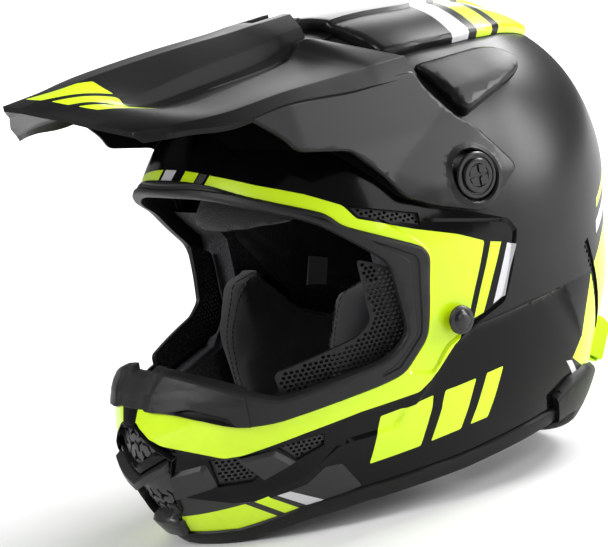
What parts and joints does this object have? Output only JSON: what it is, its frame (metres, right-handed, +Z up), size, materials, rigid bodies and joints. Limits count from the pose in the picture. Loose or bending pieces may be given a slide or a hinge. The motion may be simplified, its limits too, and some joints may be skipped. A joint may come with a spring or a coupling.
{
  "type": "motocross helmet",
  "caption": "Full-face off-road helmet with a tilting peak, open eyeport, vented chin bar, foam and cloth liners, and a D-ring chin strap.",
  "frame": {"origin": "middle of the neck opening, on the plane that the chin edge and the nape edge stand on", "axes": "+Z up towards the crown, -Y towards the face opening, +X towards the wearer's left"},
  "size_m": [0.2492, 0.3582, 0.2777],
  "materials": {
    "shell_black": "satin black paint with gloss panels",
    "hi_vis": "gloss high-visibility yellow paint",
    "matte_black": "matte black moulded plastic",
    "gloss_black": "gloss black moulded plastic",
    "trim_rubber": "matte black rubber",
    "mesh_grey": "grey moulded grille",
    "foam": "expanded bead foam",
    "liner_cloth": "black knitted lining",
    "pad_suede": "grey brushed microfibre",
    "label_cloth": "grey woven label, blank",
    "webbing": "black polyester webbing",
    "snap_plastic": "white nylon",
    "steel": "plated steel",
    "brass": "plain brass"
  },
  "bodies": {
    "helmet": {"outer_shell": "shell_black", "eps_crown_liner": "foam", "eps_chin_bar": "foam", "comfort_liner": "liner_cloth", "brow_pad": "liner_cloth", "cheek_pad_left": "pad_suede", "cheek_pad_right": "pad_suede", "cheek_pad_snaps": "snap_plastic", "liner_label": "label_cloth", "eyeport_trim": "trim_rubber", "nose_guard": "trim_rubber", "eyeport_mesh_left": "trim_rubber", "eyeport_mesh_right": "trim_rubber", "base_trim": "trim_rubber", "rear_bumper": "trim_rubber", "chin_vent_frame": "gloss_black", "chin_vent_ledge": "gloss_black", "chin_vent_mesh": "mesh_grey", "chin_side_mesh_left": "mesh_grey", "chin_side_mesh_right": "mesh_grey", "brow_vent_mesh_left": "matte_black", "brow_vent_mesh_right": "matte_black", "crown_ridge": "hi_vis", "crown_intake_mesh": "matte_black", "side_scoop_left": "matte_black", "side_scoop_right": "matte_black", "rear_vent_mesh": "matte_black", "rear_spoiler": "hi_vis", "visor_nut_left": "brass", "visor_nut_right": "brass", "visor_center_nut": "brass", "strap_rivet_left": "gloss_black", "strap_rivet_right": "gloss_black", "chin_strap_left": "webbing", "chin_strap_right": "webbing", "strap_snap": "steel"},
    "peak": {"visor": "matte_black", "visor_bush_left": "steel", "visor_bush_right": "steel"},
    "screw_left": {"visor_screw_left": "gloss_black"},
    "screw_right": {"visor_screw_right": "gloss_black"},
    "screw_center": {"visor_center_screw": "gloss_black"},
    "ring_outer": {"d_ring_outer": "steel"},
    "ring_inner": {"d_ring_inner": "steel"}
  },
  "joints": [
    {"name": "visor_tilt", "type": "hinge", "parent": "helmet", "child": "peak", "pos_m": [0, -0.002, 0.177], "axis": [1, 0, 0], "range_deg": [-6, 5]},
    {"name": "screw_left_turn", "type": "hinge", "parent": "helmet", "child": "screw_left", "pos_m": [0.1206, -0.002, 0.177], "axis": [1, 0, 0], "continuous": true},
    {"name": "screw_right_turn", "type": "hinge", "parent": "helmet", "child": "screw_right", "pos_m": [-0.1206, -0.002, 0.177], "axis": [-1, 0, 0], "continuous": true},
    {"name": "screw_center_turn", "type": "hinge", "parent": "helmet", "child": "screw_center", "pos_m": [0, -0.002, 0.177], "axis": [0, -0.4067, 0.9135], "continuous": true},
    {"name": "ring_outer_swing", "type": "hinge", "parent": "helmet", "child": "ring_outer", "pos_m": [0.076, -0.028, 0.04], "axis": [0, 1, 0], "range_deg": [-4, 60]},
    {"name": "ring_inner_swing", "type": "hinge", "parent": "helmet", "child": "ring_inner", "pos_m": [0.0804, -0.028, 0.037], "axis": [0, 1, 0], "range_deg": [-4, 60]}
  ],
  "couplings": [
    {"joint": "ring_inner_swing", "follows": "ring_outer_swing", "ratio": 1}
  ]
}
